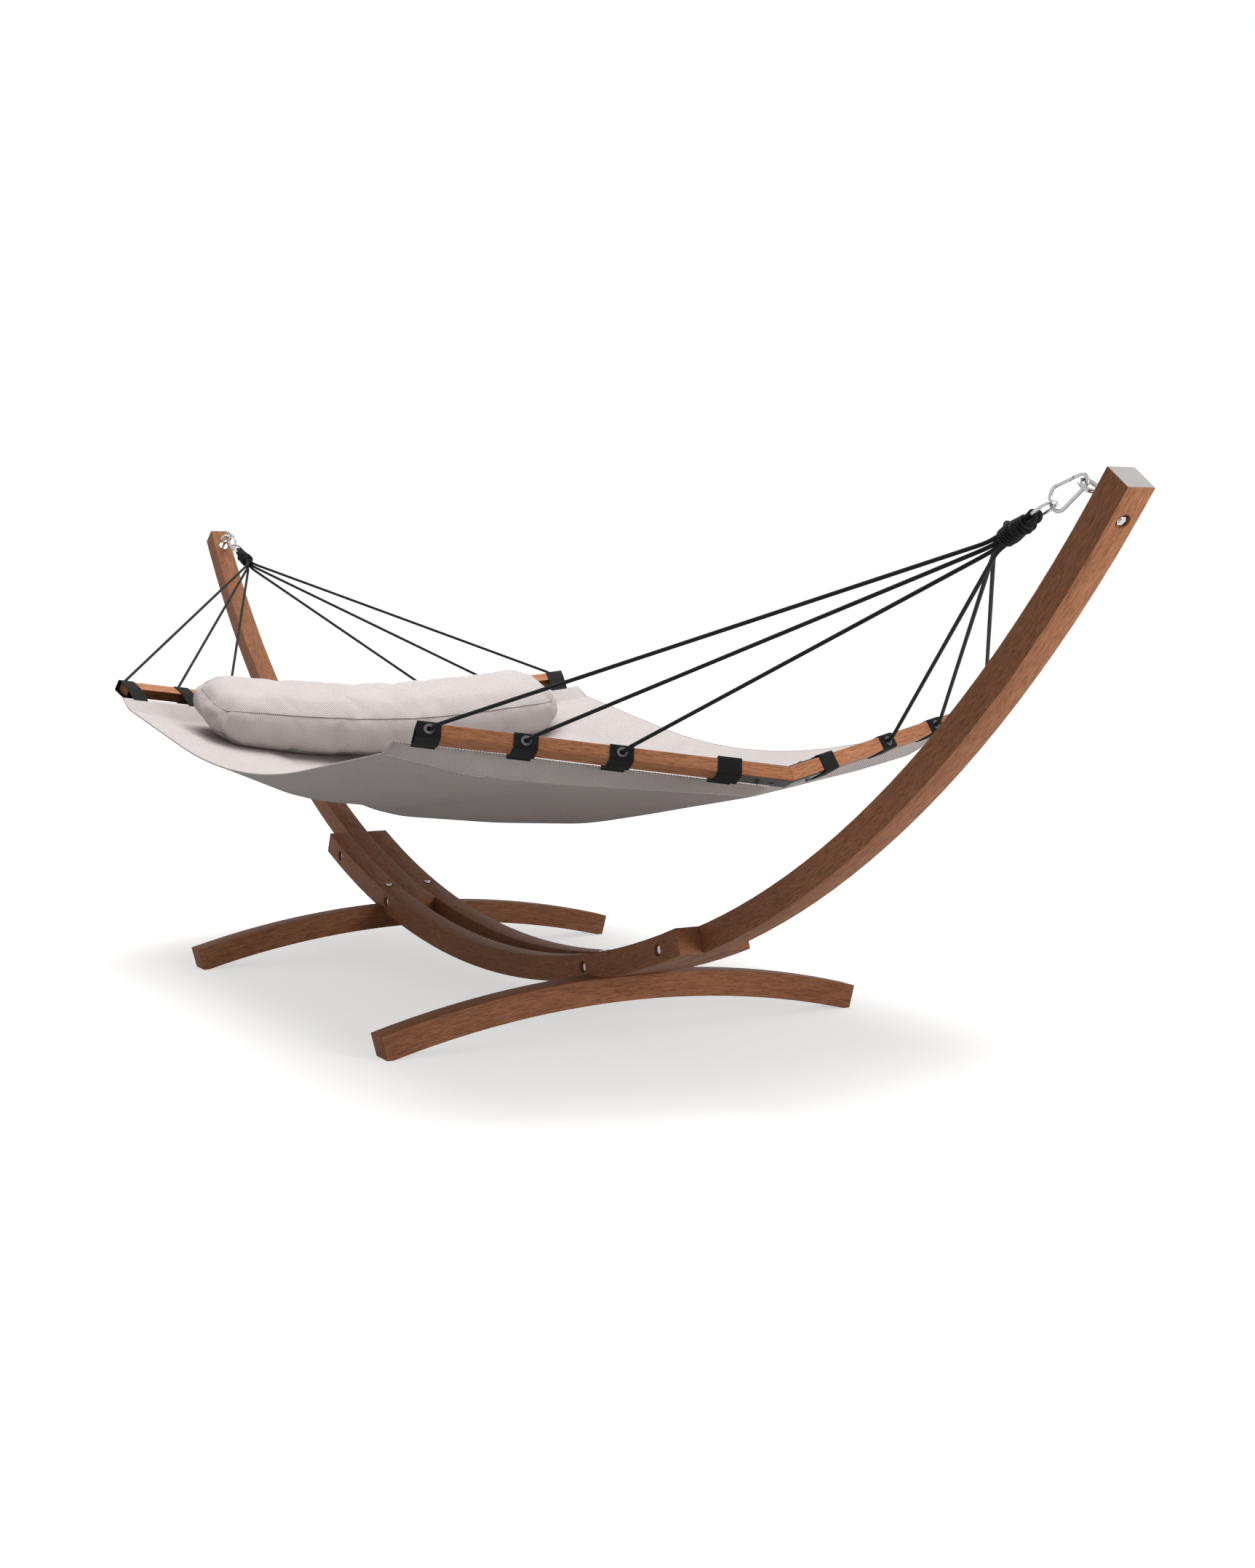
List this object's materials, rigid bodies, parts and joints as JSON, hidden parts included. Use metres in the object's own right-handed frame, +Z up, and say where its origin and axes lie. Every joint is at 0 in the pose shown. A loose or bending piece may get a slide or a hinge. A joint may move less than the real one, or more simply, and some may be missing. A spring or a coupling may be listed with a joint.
{
  "type": "hammock with stand",
  "caption": "Curved timber arc stand on arched cross feet that carries a cloth hammock bed on spreader bars, ropes and snap hooks, with a loose pillow.",
  "frame": {"origin": "on the floor, under the middle of the stand", "axes": "+X along the stand from the head (pillow) end to the toe end, +Y across it, +Z up"},
  "size_m": [4.4694, 1.4484, 1.2221],
  "materials": {
    "stained_timber": "curved laminated wood with a red brown stain, satin",
    "bar_timber": "red brown stained hardwood, satin",
    "bright_steel": "zinc plated steel",
    "plate_steel": "dark coated steel, semi gloss",
    "black_rope": "braided black polyester rope",
    "black_webbing": "woven black webbing",
    "bed_fabric": "woven outdoor fabric",
    "pillow_fabric": "woven outdoor fabric"
  },
  "bodies": {
    "stand": {"rail_right": "stained_timber", "rail_left": "stained_timber", "head_arm": "stained_timber", "toe_arm": "stained_timber", "head_foot": "stained_timber", "toe_foot": "stained_timber", "head_eye_bolt": "bright_steel", "toe_eye_bolt": "bright_steel", "rail_through_bolts": "bright_steel", "rail_bolt_washers": "bright_steel", "rail_bolt_nuts": "bright_steel", "foot_bolts": "bright_steel", "foot_bolt_washers": "bright_steel", "foot_bolt_nuts": "bright_steel", "eye_bolt_washers": "bright_steel", "eye_bolt_nuts": "bright_steel"},
    "hammock": {"bed_cloth": "bed_fabric", "toe_snap_hook": "bright_steel", "toe_gate_pin": "bright_steel", "toe_oval_link": "bright_steel", "toe_rope_bundle": "black_rope", "toe_lashing": "black_rope", "toe_ropes_right": "black_rope", "toe_ropes_left": "black_rope", "toe_rope_stoppers": "black_rope", "toe_bar_right": "bar_timber", "toe_bar_left": "bar_timber", "toe_bar_plate_top": "plate_steel", "toe_bar_plate_under": "plate_steel", "toe_plate_bolts": "plate_steel", "toe_plate_nuts": "plate_steel", "toe_straps": "black_webbing", "toe_eyelets": "bright_steel", "head_snap_hook": "bright_steel", "head_gate_pin": "bright_steel", "head_oval_link": "bright_steel", "head_rope_bundle": "black_rope", "head_lashing": "black_rope", "head_ropes_right": "black_rope", "head_ropes_left": "black_rope", "head_rope_stoppers": "black_rope", "head_bar_right": "bar_timber", "head_bar_left": "bar_timber", "head_bar_plate_top": "plate_steel", "head_bar_plate_under": "plate_steel", "head_plate_bolts": "plate_steel", "head_plate_nuts": "plate_steel", "head_straps": "black_webbing", "head_eyelets": "bright_steel"},
    "toe_gate": {"toe_gate": "bright_steel"},
    "head_gate": {"head_gate": "bright_steel"},
    "pillow": {"pillow": "pillow_fabric"}
  },
  "joints": [
    {"name": "hammock_swing", "type": "hinge", "parent": "stand", "child": "hammock", "pos_m": [0, 0, 1.20416], "axis": [1, 0, 0], "range_deg": [-25, 25]},
    {"name": "toe_gate_hinge", "type": "hinge", "parent": "hammock", "child": "toe_gate", "pos_m": [2.07458, 0, 1.20868], "axis": [0, -1, 0], "range_deg": [0, 25], "stiffness_Nm_per_rad": 0.2, "springref_deg": -20.05},
    {"name": "head_gate_hinge", "type": "hinge", "parent": "hammock", "child": "head_gate", "pos_m": [-2.07458, 0, 1.20868], "axis": [0, 1, 0], "range_deg": [0, 25], "stiffness_Nm_per_rad": 0.2, "springref_deg": -20.05},
    {"name": "pillow_lift", "type": "slide", "parent": "hammock", "child": "pillow", "axis": [0, 0, 1], "range_m": [0, 0.25]}
  ]
}
